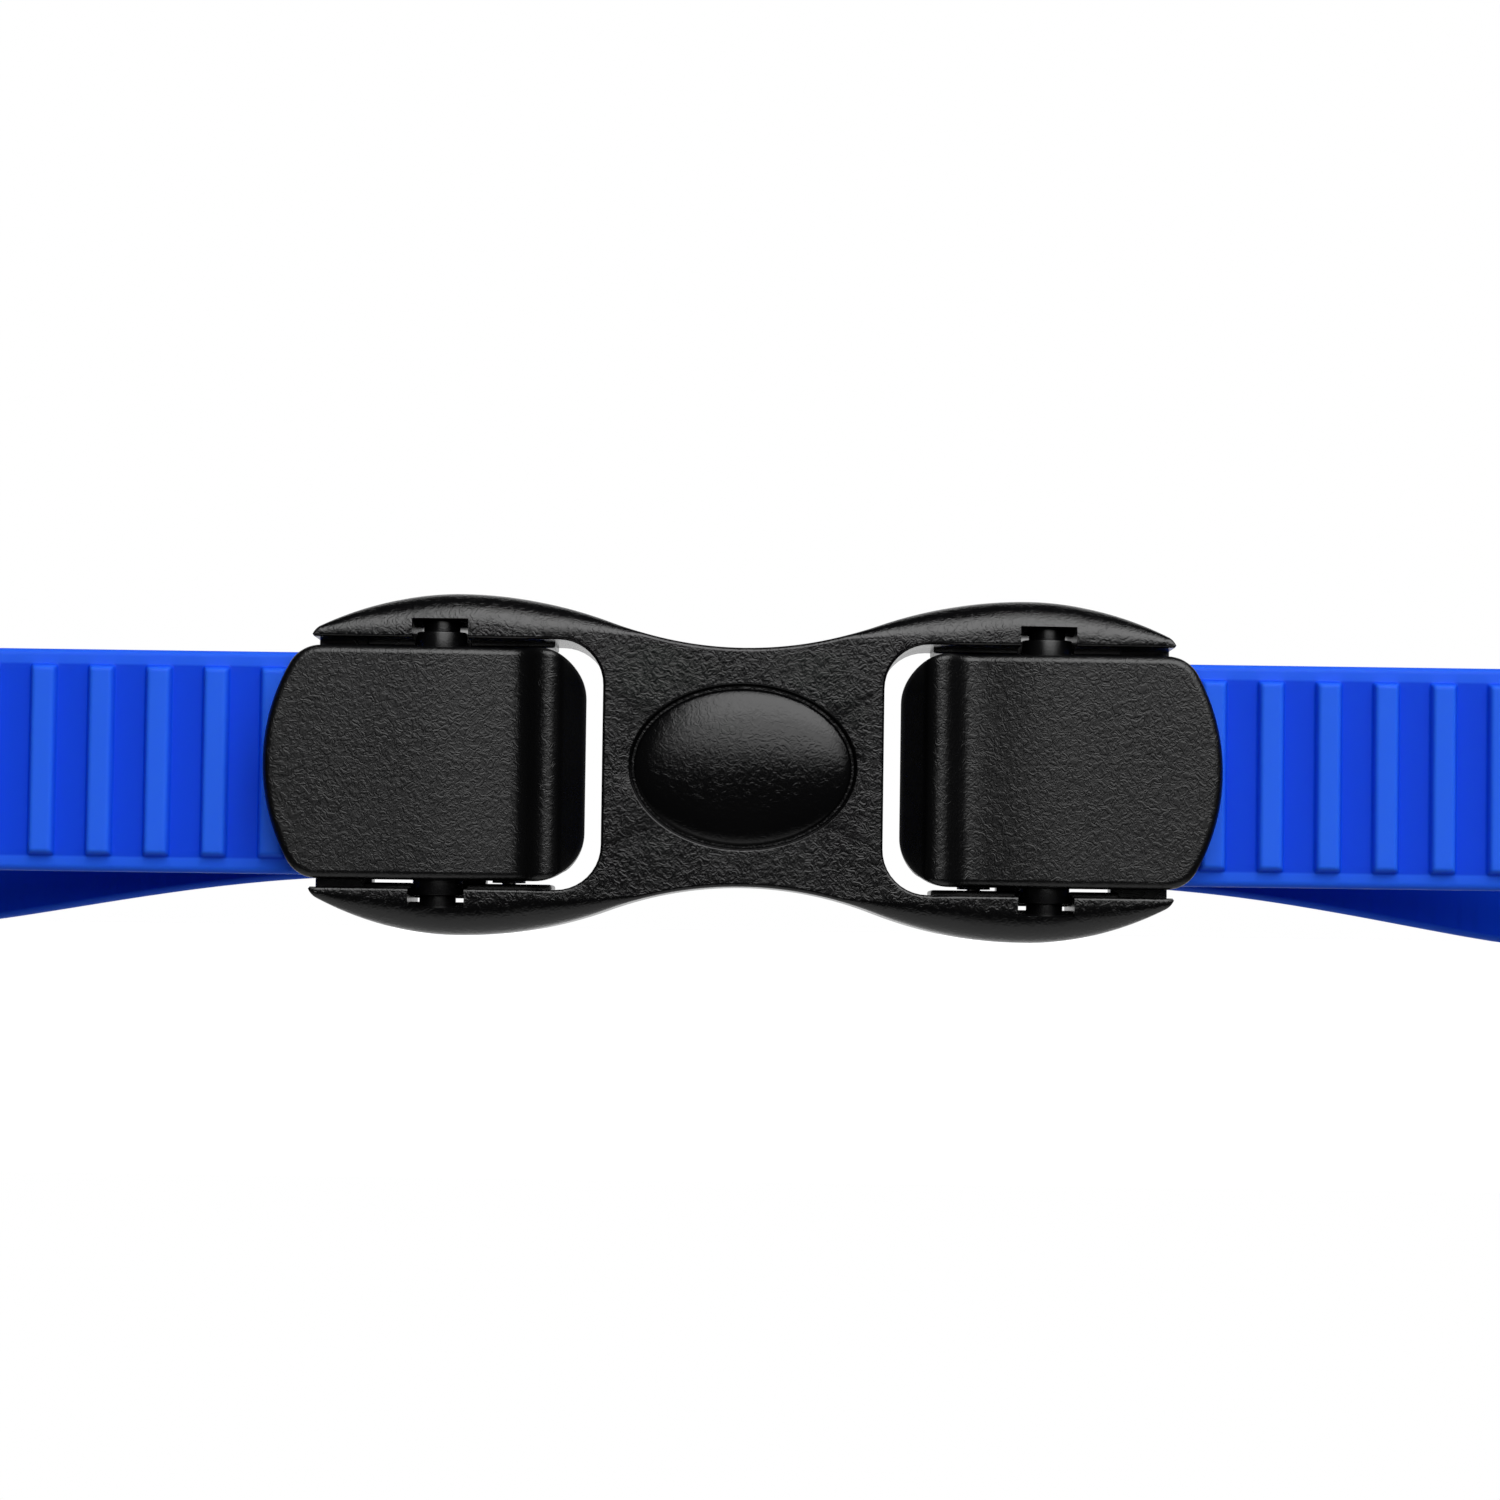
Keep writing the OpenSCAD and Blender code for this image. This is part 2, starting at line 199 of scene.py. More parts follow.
box_height = combined("MULTIPLY", fade("Z", 0.07, 0.2), fade("Z", 0.95, 0.75))
box_sides = combined("MULTIPLY", fade("X", -0.42, -0.02), fade("X", 0.8, 0.35))
front_box = combined("MULTIPLY", combined("MULTIPLY", box_height, box_sides), fade("Y", 0.05, -0.2))
backdrop = fade("Y", 0.55, 0.88)
beneath = fade("Z", -0.55, -0.9)
lights = combined("MULTIPLY", front_box, FRONT_BOX_STRENGTH)
lights = combined("ADD", lights, combined("MULTIPLY", backdrop, BACKDROP_STRENGTH))
lights = combined("ADD", lights, combined("MULTIPLY", beneath, BENEATH_STRENGTH))
lights = combined("ADD", lights, DARK_STRENGTH)
lit = add_node(tree, "ShaderNodeBackground", links={"Strength": lights}, Color=WHITE)
seen = add_node(tree, "ShaderNodeBackground", Color=WHITE)
rays = add_node(tree, "ShaderNodeLightPath")
mix = add_node(tree, "ShaderNodeMixShader", links={0: rays.outputs["Is Camera Ray"],
                                                   1: lit.outputs[0], 2: seen.outputs[0]})
add_node(tree, "ShaderNodeOutputWorld", links={"Surface": mix.outputs[0]})
bpy.context.scene.world = world
bpy.context.scene.view_settings.view_transform = "Standard"
print("world", len(tree.nodes), "nodes")

# %% The wide lamp overhead
LAMP_PLACE = Vector((0.15, AIM.y - 0.3, 0.4))
LAMP_SIZE = (0.8, 0.5)
LAMP_WATTS = 1.7

lamp_data = bpy.data.lights.new("overhead_lamp", "AREA")
lamp_data.shape = "RECTANGLE"
lamp_data.size, lamp_data.size_y = LAMP_SIZE
lamp_data.energy = LAMP_WATTS
lamp = bpy.data.objects.new("overhead_lamp", lamp_data)
turn = (AIM - LAMP_PLACE).to_track_quat("-Z", "Y").to_matrix().to_4x4()
lamp.matrix_world = Matrix.Translation(LAMP_PLACE) @ turn
bpy.context.scene.collection.objects.link(lamp)
print("lamp", round((AIM - LAMP_PLACE).length, 2), "m from the clip")

# %% [markdown]
# ## The floor
# A plain pale floor glows almost white, so it takes only the softest shadow. It is left out of the
# clip's reflections and fill light, because the world already has its own glow from below.

# %% Floor
FLOOR_HALF = 2.0         # half its width in metres
FLOOR_GLOW = 0.85

floor_mesh = bpy.data.meshes.new("floor")
floor = bpy.data.objects.new("floor", floor_mesh)
bm = bmesh.new()
bmesh.ops.create_grid(bm, x_segments=1, y_segments=1, size=FLOOR_HALF)
bm.to_mesh(floor_mesh)
bm.free()
bpy.context.scene.collection.objects.link(floor)
floor.visible_glossy = False
floor.visible_diffuse = False
floor_paint = bpy.data.materials.new("pale_floor")
floor_paint.use_nodes = True
floor_shader = floor_paint.node_tree.nodes["Principled BSDF"]
floor_shader.inputs["Base Color"].default_value = rgb("#cfcfcf")
floor_shader.inputs["Roughness"].default_value = 0.9
floor_shader.inputs["Emission Color"].default_value = rgb("#ffffff")
floor_shader.inputs["Emission Strength"].default_value = FLOOR_GLOW
floor_mesh.materials.append(floor_paint)
print("floor", 2 * FLOOR_HALF, "m wide")

# %% [markdown]
# ## Moulded nylon
# The clip and levers are nylon from a mould etched with a leather grain. To the eye that is a fine web
# of short wrinkles that breaks up every reflection, with smooth walls where the mould slides. The grain
# could be carved into the mesh, but it is a hundredth of a millimetre deep, so a bump does it: the
# valleys of a noise, folded about its middle value, make the wrinkles.


# %% A material to start from
def new_material(name):
    """A material with an empty tree, its Principled shader and the shader's output already linked."""
    material = bpy.data.materials.new(name)
    material.use_nodes = True
    tree = material.node_tree
    tree.nodes.clear()
    shader = add_node(tree, "ShaderNodeBsdfPrincipled")
    add_node(tree, "ShaderNodeOutputMaterial", links={"Surface": shader.outputs[0]})
    return material, tree, shader


# %% Nylon, with and without its grain
WRINKLE = 0.5 * MM       # length of a wrinkle
CLOUD = 6 * MM           # size of the duller and shinier patches


def moulded_nylon(name, grain_depth, roughness, ior=1.53):
    """Black glass-filled nylon: a soft sheen over deep black, and wrinkles of leather grain."""
    material, tree, shader = new_material(name)
    place = add_node(tree, "ShaderNodeTexCoord").outputs["Object"]
    turned = add_node(tree, "ShaderNodeMapping", links={"Vector": place},
                      Rotation=(0, radians(38), 0))
    wrinkles = add_node(tree, "ShaderNodeTexNoise", links={"Vector": turned.outputs[0]},
                        Scale=1 / WRINKLE, Detail=2.0, Roughness=0.45, Distortion=1.1)
    ridge = add_node(tree, "ShaderNodeMath", {"operation": "SUBTRACT"}, {0: wrinkles.outputs["Fac"]})
    ridge.inputs[1].default_value = 0.5
    ridged = add_node(tree, "ShaderNodeMath", {"operation": "ABSOLUTE"}, {0: ridge.outputs[0]})
    grain = add_node(tree, "ShaderNodeMapRange", links={"Value": ridged.outputs[0]},
                     From_Min=0.0, From_Max=0.16, To_Min=0.0, To_Max=1.0)
    bump = add_node(tree, "ShaderNodeBump", links={"Height": grain.outputs["Result"]},
                    Strength=1.0, Distance=grain_depth)
    clouds = add_node(tree, "ShaderNodeTexNoise", links={"Vector": place}, Scale=1 / CLOUD, Detail=3.0)
    rough = add_node(tree, "ShaderNodeMapRange", links={"Value": clouds.outputs["Fac"]},
                     From_Min=0.3, From_Max=0.7, To_Min=roughness, To_Max=roughness + 0.06)
    tree.links.new(rough.outputs["Result"], shader.inputs["Roughness"])
    tree.links.new(bump.outputs["Normal"], shader.inputs["Normal"])
    shader.inputs["Base Color"].default_value = rgb("#060607")
    shader.inputs["IOR"].default_value = ior
    return material


# the clip's face: grain with a satin sheen
nylon = moulded_nylon("moulded_nylon_leather_grain", 0.011 * MM, 0.17)
# the levers' plates: the same grain, a little duller, so they look paler under the soft box
lever_nylon = moulded_nylon("moulded_nylon_matt_lever_grain", 0.011 * MM, 0.27)
# slot walls, noses and everything inside: nearly smooth
plain_nylon = moulded_nylon("moulded_nylon_smooth_wall", 0.002 * MM, 0.25)
# the oval dome: shiny, with a shallow grain that frays the edge of its highlight
glossy_nylon = moulded_nylon("moulded_nylon_glossy_dome", 0.006 * MM, 0.15, ior=1.45)
print("nylons", [m.name for m in (nylon, lever_nylon, plain_nylon, glossy_nylon)])

# %% [markdown]
# ## Blue silicone
# The straps are moulded silicone rubber, coloured right through. One flat blue would look like paint, so
# a little light passes through thin edges, the dull bloom on its skin is cloudy, and fine pores soften
# the highlights. A vertex attribute made with the mesh carries painted light: the ribs, the margins and
# the rounded edges are painted paler as lit, and the valleys between the ribs darker as painted shade.


# %% Silicone rubber
BLOOM = 1.5 * MM         # size of the cloudy patches
PORE = 0.2 * MM          # drawn coarser than real pores, which wouldn't show


def silicone_rubber(name):
    """Blue silicone: saturated, slightly see-through at its edges, painted paler as lit on rib tops and
    margins, and darker as shade in the valleys.
    """
    material, tree, shader = new_material(name)
    place = add_node(tree, "ShaderNodeTexCoord").outputs["Object"]
    painted_light = add_node(tree, "ShaderNodeAttribute", {"attribute_name": "painted_light"}).outputs["Fac"]
    # painted light and shade: the first blue is the painted shade between the ribs and on the back, the
    # second the painted light on ribs, margins and edges
    colour = add_node(tree, "ShaderNodeMix", {"data_type": "RGBA"}, {"Factor": painted_light})
    colour.inputs[6].default_value = rgb("#0346e6")
    colour.inputs[7].default_value = rgb("#286bff")
    tree.links.new(colour.outputs[2], shader.inputs["Base Color"])
    bloom = add_node(tree, "ShaderNodeTexNoise", links={"Vector": place}, Scale=1 / BLOOM, Detail=4.0)
    rough = add_node(tree, "ShaderNodeMapRange", links={"Value": bloom.outputs["Fac"]},
                     From_Min=0.3, From_Max=0.7, To_Min=0.48, To_Max=0.58)
    tree.links.new(rough.outputs["Result"], shader.inputs["Roughness"])
    pores = add_node(tree, "ShaderNodeTexNoise", links={"Vector": place}, Scale=1 / PORE, Detail=2.0)
    bump = add_node(tree, "ShaderNodeBump", links={"Height": pores.outputs["Fac"]},
                    Strength=0.5, Distance=0.004 * MM)
    tree.links.new(bump.outputs["Normal"], shader.inputs["Normal"])
    shader.inputs["Specular IOR Level"].default_value = 0.18
    shader.inputs["IOR"].default_value = 1.41
    shader.inputs["Subsurface Weight"].default_value = 0.25
    shader.inputs["Subsurface Radius"].default_value = (0.2, 0.4, 1.0)
    shader.inputs["Subsurface Scale"].default_value = 0.8 * MM
    return material


silicone = silicone_rubber("blue_silicone_rubber")
print("silicone", len(silicone.node_tree.nodes), "nodes")

# %% [markdown]
# ## Steel and acetal
# The axles are cut from drawn stainless wire, and the rollers are turned from grey acetal. They keep the
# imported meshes. Drawing and turning leave fine lines round a pin, which stretch its highlights, so a
# noise is squeezed along two axes until it is only rings.


# %% Steel wire and turned acetal
def turned_finish(name, colour, metallic, roughness, line_mm):
    """A lathe-turned or drawn surface: fine lines round the pin, which stretch its highlights."""
    material, tree, shader = new_material(name)
    place = add_node(tree, "ShaderNodeTexCoord").outputs["Object"]
    lines = add_node(tree, "ShaderNodeMapping", links={"Vector": place}, Scale=(0.05, 0.05, 1))
    streaks = add_node(tree, "ShaderNodeTexNoise", links={"Vector": lines.outputs[0]},
                       Scale=1 / (line_mm * MM), Detail=3.0)
    bump = add_node(tree, "ShaderNodeBump", links={"Height": streaks.outputs["Fac"]},
                    Strength=0.4, Distance=0.01 * MM)
    rough = add_node(tree, "ShaderNodeMapRange", links={"Value": streaks.outputs["Fac"]},
                     To_Min=roughness, To_Max=roughness + 0.15)
    tree.links.new(rough.outputs["Result"], shader.inputs["Roughness"])
    tree.links.new(bump.outputs["Normal"], shader.inputs["Normal"])
    shader.inputs["Base Color"].default_value = rgb(colour)
    shader.inputs["Metallic"].default_value = metallic
    return material


steel = turned_finish("drawn_stainless_steel", "#c9c8c4", 1.0, 0.22, 0.08)
acetal = turned_finish("turned_grey_acetal", "#7f8488", 0.0, 0.38, 0.15)
for side_name in ("left", "right"):
    for part, finish in (("roller", acetal), ("axle", steel)):
        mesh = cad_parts[f"{side_name}_{part}"].data
        mesh.materials.clear()
        mesh.materials.append(finish)
print("materials", [m.name for m in bpy.data.materials])

# %% [markdown]
# ## Growing a piece ring by ring
# A moulding with soft edges can be grown like a stack of outlines. A ring of edges is extruded, and its
# new vertices are moved in or up to the next ring. A quarter circle of such steps is a rounded edge,
# and its radius may change along the outline, which one bevel can't do.


# %% Ring helpers
def first_ring(bm, points):
    """Draws a closed ring of vertices and edges."""
    ring = [bm.verts.new(p) for p in points]
    for a, b in zip(ring, ring[1:] + ring[:1]):
        bm.edges.new((a, b))
    return ring


def ring_edges(bm, ring):
    """The edges between the neighbours in a closed ring."""
    return [bm.edges.get((a, b)) for a, b in zip(ring, ring[1:] + ring[:1])]


def next_ring(bm, ring, points):
    """Extrudes a ring and moves the new one to these points."""
    made = bmesh.ops.extrude_edge_only(bm, edges=ring_edges(bm, ring))["geom"]
    fresh = {v for v in made if isinstance(v, bmesh.types.BMVert)}
    grown = [next(e.other_vert(v) for e in v.link_edges if e.other_vert(v) in fresh) for v in ring]
    for vert, point in zip(grown, points):
        vert.co = point
    return grown


def arc(centre, radius, start, end, steps):
    """Points along an arc, with its angles in degrees."""
    turns = [radians(start + (end - start) * i / steps) for i in range(steps + 1)]
    return [Vector((centre[0] + radius * cos(a), centre[1] + radius * sin(a))) for a in turns]


def inset(outline, amounts):
    """Moves each point of a clockwise outline inwards by its own amount, square to its two edges."""
    moved = []
    for i, point in enumerate(outline):
        before = (point - outline[i - 1]).normalized()
        after = (outline[(i + 1) % len(outline)] - point).normalized()
        normal_a, normal_b = Vector((before.y, -before.x)), Vector((after.y, -after.x))
        middle = (normal_a + normal_b).normalized()
        moved.append(point + middle * amounts[i] / max(middle.dot(normal_a), 0.4))
    return moved


def smooth(t):
    """Eases from 0 to 1."""
    t = min(max(t, 0), 1)
    return t * t * (3 - 2 * t)


# %% Turning a finished bmesh into a piece
def make_piece(name, bm, materials, left=False):
    """Mirrors a left-hand piece, stands it up and links it, with its faces pointing outwards."""
    if left:
        bmesh.ops.scale(bm, vec=(-1, 1, 1), verts=bm.verts)
    bmesh.ops.transform(bm, matrix=UPRIGHT, verts=bm.verts)
    bmesh.ops.recalc_face_normals(bm, faces=bm.faces)
    mesh = bpy.data.meshes.new(name)
    bm.to_mesh(mesh)
    bm.free()
    for material in materials:
        mesh.materials.append(material)
    piece = bpy.data.objects.new(name, mesh)
    bpy.context.scene.collection.objects.link(piece)
    return piece


def combine(piece, tool, operation):
    """Joins or cuts a piece with a tool object, which is then removed."""
    modifier = piece.modifiers.new("combine", "BOOLEAN")
    modifier.object = tool
    modifier.operation = operation
    modifier.solver = "EXACT"
    graph = bpy.context.evaluated_depsgraph_get()
    result = bpy.data.meshes.new_from_object(piece.evaluated_get(graph))
    piece.modifiers.clear()
    piece.data = result
    bpy.data.objects.remove(tool)


def soften(piece, angle):
    """Smooth shading with creases sharper than the angle kept, and flat faces kept flat."""
    piece.data.shade_smooth()
    piece.data.set_sharp_from_angle(angle=radians(angle))
    weighted = piece.modifiers.new("flat_faces", "WEIGHTED_NORMAL")
    weighted.keep_sharp = True


# %% [markdown]
# ## The clip
# The clip is one moulding, so it is drawn as one closed line: a waist arc, two lobe arcs and a blunt
# tip for each arm, then back along the slot. A curve object with a bevel could make its rounded edges,
# but only with one radius, and the real edge swells from the waist to the lobes. Only a quarter of the
# line is drawn. The other three are mirror images.

# %% A quarter of the clip's outline
SLOT_EDGE = 0.22 * MM    # rounding along the slots
SLOT_STOPS = (30, 29, 27.5, 26, 24, 21.6, 19, 17, 15)    # points along a slot, in mm

radius_sum = (LOBE_X ** 2 + WAIST_IN ** 2) / (2 * WAIST_IN)
lobe_in_r = radius_sum - WAIST_R
waist_angle = degrees(atan2(LOBE_X, radius_sum - WAIST_IN))
tip_turn = degrees(asin((TIP_X - TIP_R - LOBE_X) / (LOBE_R - TIP_R)))
tip_centre = (TIP_X - TIP_R, LOBE_HALF - LOBE_R + (LOBE_R - TIP_R) * cos(radians(tip_turn)))
tip_low = degrees(asin((SLOT_HALF + 0.15 * MM - tip_centre[1]) / TIP_R))

outside = arc((0, WAIST_HALF + WAIST_R), WAIST_R, -90, -90 + waist_angle, 16)
outside += arc((LOBE_X, LOBE_HALF - lobe_in_r), lobe_in_r, 90 + waist_angle, 90, 16)[1:]
outside += arc((LOBE_X, LOBE_HALF - LOBE_R), LOBE_R, 90, 90 - tip_turn, 24)[1:]
tip = arc(tip_centre, TIP_R, 90 - tip_turn, tip_low, 6)[1:]
slot_side = [Vector((tip[-1].x - 0.12 * MM, SLOT_HALF))]
slot_side += [Vector((x * MM, SLOT_HALF)) for x in SLOT_STOPS]
corner_x = BRIDGE_HALF + SLOT_CORNER_R
slot_side += arc((corner_x, SLOT_HALF - SLOT_CORNER_R), SLOT_CORNER_R, 90, 180, 10)
slot_side += [Vector((BRIDGE_HALF, SLOT_HALF * share)) for share in (0.4, 0.15)]
quarter = outside + tip + slot_side
print("points in a quarter", len(quarter))


# %% The rounding along the outline
WAIST_EDGE = 1.6 * MM
LOBE_EDGE = 2.25 * MM
TIP_EDGE = 0.42 * MM     # where a tip starts
CORNER_EDGE = 0.1 * MM   # where it meets the slot


def outer_radius(x, y):
    """The rounding of the outer edge: wider on the lobes, and as wide as an arm allows at its tip."""
    wide = WAIST_EDGE + (LOBE_EDGE - WAIST_EDGE) * smooth((x / MM - 6) / 8)
    return max(min(wide, 0.85 * (y - SLOT_HALF - SLOT_EDGE)), 0.3 * MM)


radii = [outer_radius(*p) for p in outside]
radii += [TIP_EDGE + (CORNER_EDGE - TIP_EDGE) * (i + 1) / len(tip) for i in range(len(tip))]
radii += [CORNER_EDGE] + [SLOT_EDGE] * (len(slot_side) - 1)
print("rounding from", round(min(radii) / MM, 2), "to", round(max(radii) / MM, 2), "mm")


# %% The other three quarters
def mirrored_loop(values, flip):
    """A whole loop from a quarter's values. flip changes a value for a quadrant's signs of x and y."""
    loop = [flip(v, 1, 1) for v in values] + [flip(v, 1, -1) for v in reversed(values)]
    return loop + [flip(v, -1, -1) for v in values[1:]] + [flip(v, -1, 1) for v in reversed(values[1:])]


loop_points = mirrored_loop(quarter, lambda p, sign_x, sign_y: Vector((p.x * sign_x, p.y * sign_y)))
loop_radii = mirrored_loop(radii, lambda r, sign_x, sign_y: r)
print("points in the whole outline", len(loop_points))


# %% The clip's shell
BACK_SHARE = 0.25        # the back's edges are rounded less
BACK_STEPS = 4
ROUND_STEPS = 9


def rounded_ring(radii, turn, edge, up):
    """The outline where a rounded edge has turned by this much from its wall, up to or down to a face."""
    drawn = inset(loop_points, [r * (1 - cos(turn)) for r in radii])
    return [(p.x, p.y, edge - up * r * (1 - sin(turn))) for p, r in zip(drawn, radii)]


bm = bmesh.new()
back_radii = [max(r * BACK_SHARE, 0.15 * MM) for r in loop_radii]
ring = first_ring(bm, rounded_ring(back_radii, pi / 2, 0, -1))
back_ring = ring
for step in reversed(range(BACK_STEPS)):
    ring = next_ring(bm, ring, rounded_ring(back_radii, pi / 2 * step / BACK_STEPS, 0, -1))
for step in range(ROUND_STEPS + 1):
    ring = next_ring(bm, ring, rounded_ring(loop_radii, pi / 2 * step / ROUND_STEPS, FRAME_DEPTH, 1))
front_ring = ring
print("clip shell", len(bm.verts), "vertices")

# %% [markdown]
# ## The oval
# The oval in the middle is part of the same moulding: a fine groove, and a low dome inside it. It could
# be a separate piece, but the groove's bottom would need a seam. Instead the flat face is filled round
# an oval hole, and rings carry on down the groove's wall and up over the dome.

# %% The oval
OVAL = Vector((16.1 * MM / 2, 11.8 * MM / 2))
GROOVE = 0.5 * MM
DOME_RISE = 0.5 * MM
LIP = 0.12 * MM          # rounding of the groove's outer rim
OVAL_STEPS = 96


def oval_ring(in_x, in_y, height):
    """An ellipse, drawn in by one distance at its ends and another at its sides."""
    turns = [2 * pi * i / OVAL_STEPS for i in range(OVAL_STEPS)]
    return [((OVAL.x - in_x) * cos(a), (OVAL.y - in_y) * sin(a), height) for a in turns]


ring = first_ring(bm, oval_ring(-LIP, -LIP, FRAME_DEPTH))
bmesh.ops.triangle_fill(bm, edges=ring_edges(bm, front_ring) + ring_edges(bm, ring), use_beauty=True)
groove_wall = [(-LIP * (1 - sin(radians(turn))), LIP * (1 - cos(radians(turn)))) for turn in (30, 60, 90)]
groove_wall += [(0.1 * MM, GROOVE - 0.05 * MM), (0.16 * MM, GROOVE)]
for inwards, down in groove_wall:
    ring = next_ring(bm, ring, oval_ring(inwards, inwards, FRAME_DEPTH - down))
print("with its groove", len(bm.verts), "vertices")

# %% The dome
DOME_EDGE = 0.3 * MM     # from the oval's rim to the dome's foot
DOME_STEPS = 22

for step in range(DOME_STEPS):
    angle = pi / 2 * step / DOME_STEPS
    in_x = DOME_EDGE + (OVAL.x - DOME_EDGE) * (1 - cos(angle))
    in_y = DOME_EDGE + (OVAL.y - DOME_EDGE) * (1 - cos(angle))
    height = FRAME_DEPTH - GROOVE + (GROOVE + DOME_RISE) * sin(angle)
    ring = next_ring(bm, ring, oval_ring(in_x, in_y, height))
bmesh.ops.contextual_create(bm, geom=ring_edges(bm, ring))
print("with its dome", len(bm.verts), "vertices")

# %% [markdown]
# ## The pocket behind the bridge
# Thick lumps of nylon shrink and sink as they cool, so a mould-maker hollows the bridge from behind and
# leaves an even wall. Its rings start from a hole in the back face.

# %% The pocket
POCKET = Vector((BRIDGE_HALF - 2 * MM, WAIST_HALF - 2.5 * MM))
POCKET_R = 2 * MM
BRIDGE_T = 3 * MM


def pocket_ring(shrink, height):
    """A rectangle with rounded corners, drawn in all round by a distance."""
    half, radius = POCKET - Vector((shrink, shrink)), POCKET_R - shrink
    points = []
    for corner, (sign_x, sign_y) in enumerate(((1, 1), (-1, 1), (-1, -1), (1, -1))):
        centre = (sign_x * (half.x - radius), sign_y * (half.y - radius))
        points += arc(centre, radius, 90 * corner, 90 * corner + 90, 6)
    return [(p.x, p.y, height) for p in points]


ring = first_ring(bm, pocket_ring(-0.2 * MM, 0))
bmesh.ops.triangle_fill(bm, edges=ring_edges(bm, back_ring) + ring_edges(bm, ring), use_beauty=True)
pocket_depth = (FRAME_DEPTH - BRIDGE_T) / MM
pocket_wall = [(-0.06, 0.06), (0, 0.2)]
pocket_wall += [(0.12, pocket_depth - 0.3), (0.4, pocket_depth - 0.02), (0.7, pocket_depth)]
for shrink, height in pocket_wall:
    ring = next_ring(bm, ring, pocket_ring(shrink * MM, height * MM))
bmesh.ops.contextual_create(bm, geom=ring_edges(bm, ring))
print("with its pocket", len(bm.verts), "vertices")

# %% The clip as a piece, with a glossy dome
GLOSSY_SLOT = 2

for face in bm.faces:
    middle = face.calc_center_median()
    if abs(middle.x) < OVAL.x and abs(middle.y) < OVAL.y and middle.z > FRAME_DEPTH - GROOVE - 0.1 * MM:
        face.material_index = GLOSSY_SLOT
clip = make_piece("clip_frame", bm, [nylon, plain_nylon, glossy_nylon])
print("clip", len(clip.data.polygons), "faces")

# %% [markdown]
# ## Notches, ledges, floor and bars
# Each arm has a notch where the lever's boss snaps in, and ledges that close the slits beside the lever.
# A floor carries the strap and a bar ties the tips together. Real ones are cut into the mould, so here
# they are joined on and cut out: blocks with broken edges by a union, notches and bores by a difference.
# Every tool is a closed mesh that reaches a little into the clip, which keeps the joins clean.


# %% A block with broken edges
def block(low, high, edge=0.15 * MM):
    """A block between two corners, with its edges rounded."""
    low, high = Vector(low), Vector(high)
    bm = bmesh.new()
    bmesh.ops.create_cube(bm, size=1)
    bmesh.ops.scale(bm, vec=high - low, verts=bm.verts)
    bmesh.ops.translate(bm, vec=(high + low) / 2, verts=bm.verts)
    bmesh.ops.bevel(bm, geom=bm.edges[:], offset=edge, segments=2, profile=0.5, affect="EDGES", material=-1)
    return bm


# %% Where the cross pieces lie
ROOTED = 0.3 * MM        # how far a block reaches into the clip
LEVER_HALF = STRAP_W / 2 + 0.3 * MM
LEDGE_HALF = LEVER_HALF + 0.2 * MM
TONGUE_END = NOTCH_OUT - 0.3 * MM
NOTCH_X = (PIVOT_X - NOTCH_W / 2, PIVOT_X + NOTCH_W / 2)
FLOOR_X = (ROLLER_X + ROLLER_R + 0.4 * MM, NOTCH_X[1])
BAR_X = (TIP_X - 4.2 * MM, TIP_X - 0.1 * MM)
BAR_Z = (RUN_Z + STRAP_T / 2 + 0.2 * MM, TAIL_Z - STRAP_T / 2 - 0.2 * MM)
LEDGES_X = ((BRIDGE_HALF + 3.6 * MM, NOTCH_X[0] + 0.1 * MM), (NOTCH_X[1] - 0.1 * MM, BAR_X[0] + 0.5 * MM))
LEDGE_Z = (0.02 * MM, TAIL_TOP + 0.2 * MM)
print("bars", [round(z / MM, 2) for z in BAR_Z], "mm above the back")


# %% Notches and bores
def notch(sign):
    """The cut that a lever's boss snaps into, with an end wall that slopes out towards the face."""
    profile = [(LEVER_HALF, -MM), (NOTCH_OUT, -MM), (NOTCH_OUT, PIVOT_Z - TRUNNION_R),
               (NOTCH_OUT + NOTCH_LEAD, FRAME_DEPTH), (NOTCH_OUT + 1.3 * NOTCH_LEAD, FRAME_DEPTH + MM),
               (LEVER_HALF, FRAME_DEPTH + MM)]
    bm = bmesh.new()
    ring = first_ring(bm, [(NOTCH_X[0], sign * y, z) for y, z in profile])
    face = bmesh.ops.contextual_create(bm, geom=ring_edges(bm, ring))["faces"]
    grown = bmesh.ops.extrude_face_region(bm, geom=face)["geom"]
    moved = [v for v in grown if isinstance(v, bmesh.types.BMVert)]
    bmesh.ops.translate(bm, vec=(NOTCH_W, 0, 0), verts=moved)
    return bm


def bore(sign):
    """A trunnion's blind hole in the notch's end wall."""
    radius = TRUNNION_R + 0.05 * MM
    bm = bmesh.new()
    bmesh.ops.create_cone(bm, cap_ends=True, segments=48, radius1=radius, radius2=radius, depth=2.2 * MM)
    bmesh.ops.rotate(bm, matrix=Matrix.Rotation(pi / 2, 3, "X"), verts=bm.verts)
    bmesh.ops.translate(bm, vec=(PIVOT_X, sign * NOTCH_OUT, PIVOT_Z), verts=bm.verts)
    return bm


